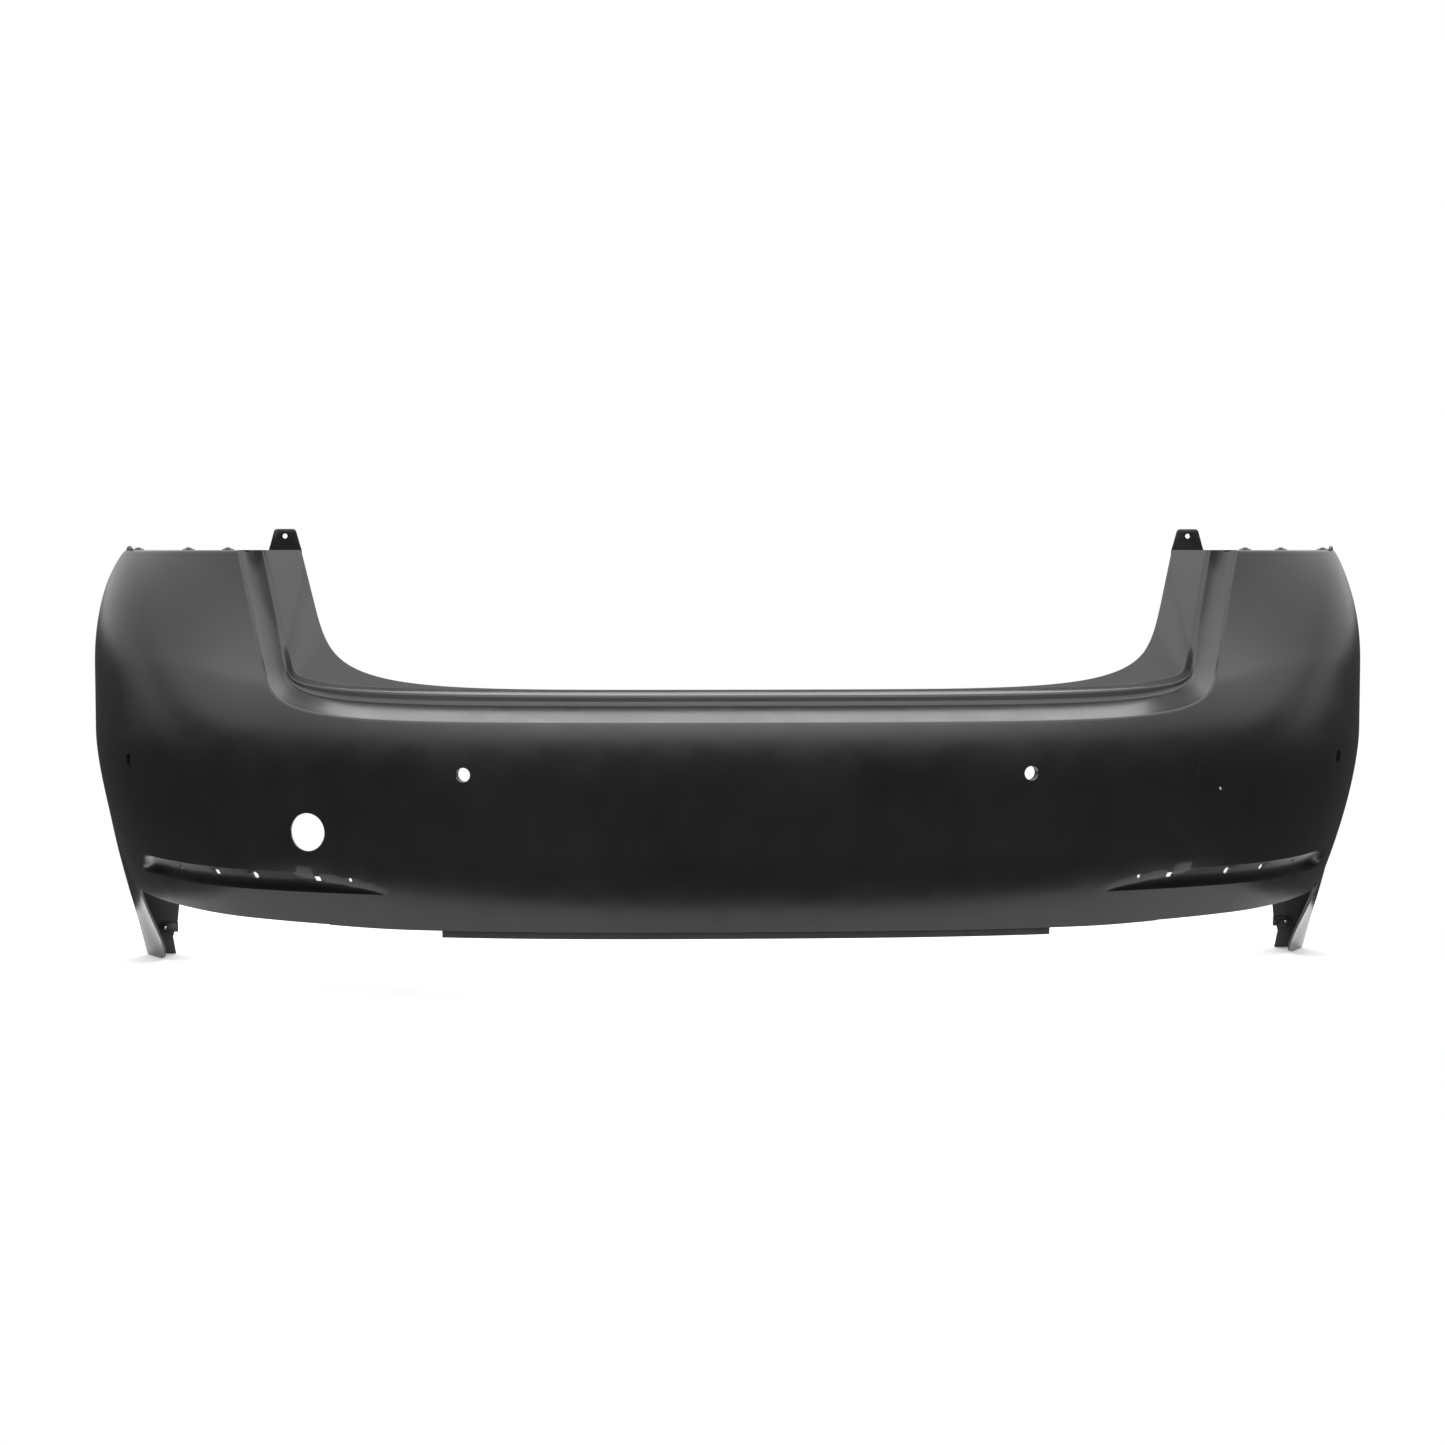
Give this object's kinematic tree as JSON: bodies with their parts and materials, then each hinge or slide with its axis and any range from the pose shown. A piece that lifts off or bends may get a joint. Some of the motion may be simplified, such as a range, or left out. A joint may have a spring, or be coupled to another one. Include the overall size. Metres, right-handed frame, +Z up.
{
  "type": "rear bumper cover",
  "caption": "Rear bumper cover for a saloon car: thin moulded skin with a stepped boot-lid opening, sensor holders, side guides, push rivets and screw clips",
  "frame": {"origin": "on the ground plane, under the middle of the cover's width and depth, level with the lowest points of its two wheel-arch ends", "axes": "+X to the right seen from behind the car, +Y into the car, +Z up"},
  "size_m": [1.8158, 0.6502, 0.6108],
  "materials": {
    "primer_skin": "satin",
    "black_plastic": "satin",
    "rivet_plastic": "satin",
    "spring_steel": "brushed"
  },
  "bodies": {
    "cover": {"cover_skin": "primer_skin", "lower_strip": "black_plastic", "side_guide_left": "black_plastic", "side_guide_right": "black_plastic", "sensor_holder_outer_left": "black_plastic", "sensor_holder_inner_left": "black_plastic", "sensor_holder_inner_right": "black_plastic", "sensor_holder_outer_right": "black_plastic", "rivet_front_left": "rivet_plastic", "rivet_middle_left": "rivet_plastic", "rivet_rear_left": "rivet_plastic", "rivet_front_right": "rivet_plastic", "rivet_middle_right": "rivet_plastic", "rivet_rear_right": "rivet_plastic", "arch_nuts_left": "spring_steel", "arch_nuts_right": "spring_steel", "strip_nuts": "spring_steel"},
    "pin_front_left": {"pin_front_left": "rivet_plastic"},
    "pin_middle_left": {"pin_middle_left": "rivet_plastic"},
    "pin_rear_left": {"pin_rear_left": "rivet_plastic"},
    "pin_front_right": {"pin_front_right": "rivet_plastic"},
    "pin_middle_right": {"pin_middle_right": "rivet_plastic"},
    "pin_rear_right": {"pin_rear_right": "rivet_plastic"}
  },
  "joints": [
    {"name": "pin_front_left_slide", "type": "slide", "parent": "cover", "child": "pin_front_left", "axis": [0, 0, 1], "range_m": [0, 0.006]},
    {"name": "pin_middle_left_slide", "type": "slide", "parent": "cover", "child": "pin_middle_left", "axis": [0, 0, 1], "range_m": [0, 0.006]},
    {"name": "pin_rear_left_slide", "type": "slide", "parent": "cover", "child": "pin_rear_left", "axis": [0, 0, 1], "range_m": [0, 0.006]},
    {"name": "pin_front_right_slide", "type": "slide", "parent": "cover", "child": "pin_front_right", "axis": [0, 0, 1], "range_m": [0, 0.006]},
    {"name": "pin_middle_right_slide", "type": "slide", "parent": "cover", "child": "pin_middle_right", "axis": [0, 0, 1], "range_m": [0, 0.006]},
    {"name": "pin_rear_right_slide", "type": "slide", "parent": "cover", "child": "pin_rear_right", "axis": [0, 0, 1], "range_m": [0, 0.006]}
  ]
}
